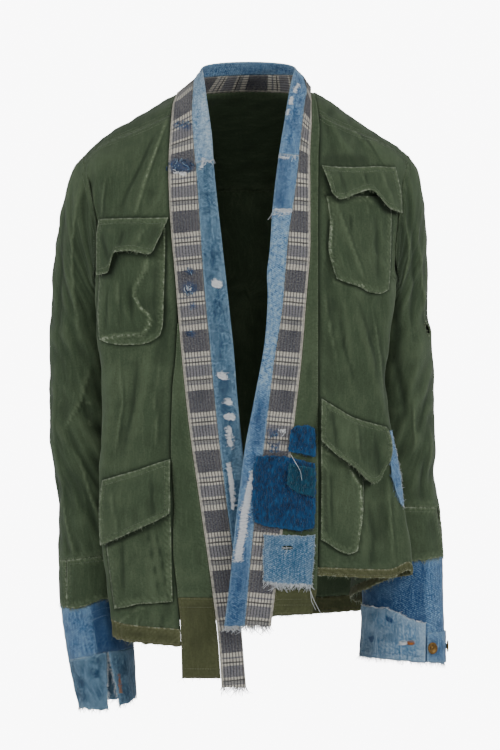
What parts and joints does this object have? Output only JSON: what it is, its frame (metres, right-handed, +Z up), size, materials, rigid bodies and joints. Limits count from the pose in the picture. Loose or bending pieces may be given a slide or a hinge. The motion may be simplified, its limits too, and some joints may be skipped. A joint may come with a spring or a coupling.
{
  "type": "patched boro jacket",
  "caption": "Worn open-fronted jacket with flap pockets, plaid and denim front bands, denim cuffs and mended patches, as hollow cloth.",
  "frame": {"origin": "middle of the neck opening, level with the tops of the shoulders, where the wearer carries it", "axes": "+X to the wearer's left, -Y out of the front, +Z up"},
  "size_m": [0.5511, 0.2948, 0.8929],
  "materials": {
    "faded_green_cotton": "washed cotton poplin, worn pale on seams and folds",
    "olive_cotton": "less faded cotton of the let-down hems",
    "yarn_dyed_plaid": "soft yarn-dyed check",
    "denim_mid": "washed indigo twill",
    "denim_dark": "darker indigo twill",
    "denim_pale": "pale washed twill",
    "indigo_cloth": "dark indigo cotton with darning",
    "teal_cloth": "overdyed cotton with darning",
    "button_metal": "aged brass"
  },
  "bodies": {
    "root": {"yoke": "faded_green_cotton", "back": "faded_green_cotton", "hem_back": "olive_cotton", "front_right": "faded_green_cotton", "front_left": "faded_green_cotton", "hem_right": "olive_cotton", "hem_left": "olive_cotton", "placket_right": "faded_green_cotton", "placket_left": "faded_green_cotton", "placket_extension_right": "olive_cotton", "placket_extension_left": "olive_cotton", "plaid_band_right": "yarn_dyed_plaid", "plaid_band_left": "yarn_dyed_plaid", "plaid_band_neck": "yarn_dyed_plaid", "denim_band_right_upper": "denim_pale", "denim_band_right_lower": "denim_dark", "denim_band_left_upper": "denim_mid", "denim_band_left_middle": "denim_pale", "denim_band_left_lower": "denim_mid", "denim_band_neck": "denim_mid", "chest_pocket_right": "faded_green_cotton", "chest_pocket_left": "faded_green_cotton", "chest_flap_right": "faded_green_cotton", "chest_flap_left": "faded_green_cotton", "hip_pocket_right": "faded_green_cotton", "hip_pocket_left": "faded_green_cotton", "hip_flap_right": "faded_green_cotton", "hip_flap_left": "faded_green_cotton", "patch_indigo_top": "indigo_cloth", "patch_indigo_main": "indigo_cloth", "patch_teal": "teal_cloth", "patch_light_denim": "denim_pale", "side_flag_left": "denim_pale", "sleeve_right": "faded_green_cotton", "sleeve_right_under": "faded_green_cotton", "sleeve_left": "faded_green_cotton", "sleeve_left_under": "faded_green_cotton", "cuff_green_right": "faded_green_cotton", "cuff_green_left": "faded_green_cotton", "cuff_denim_right_upper": "denim_mid", "cuff_denim_right_lower": "denim_dark", "cuff_denim_left": "denim_mid", "cuff_patch_left": "denim_pale", "cuff_waistband_left": "denim_mid", "button_front": "button_metal", "button_side": "button_metal"}
  },
  "joints": []
}
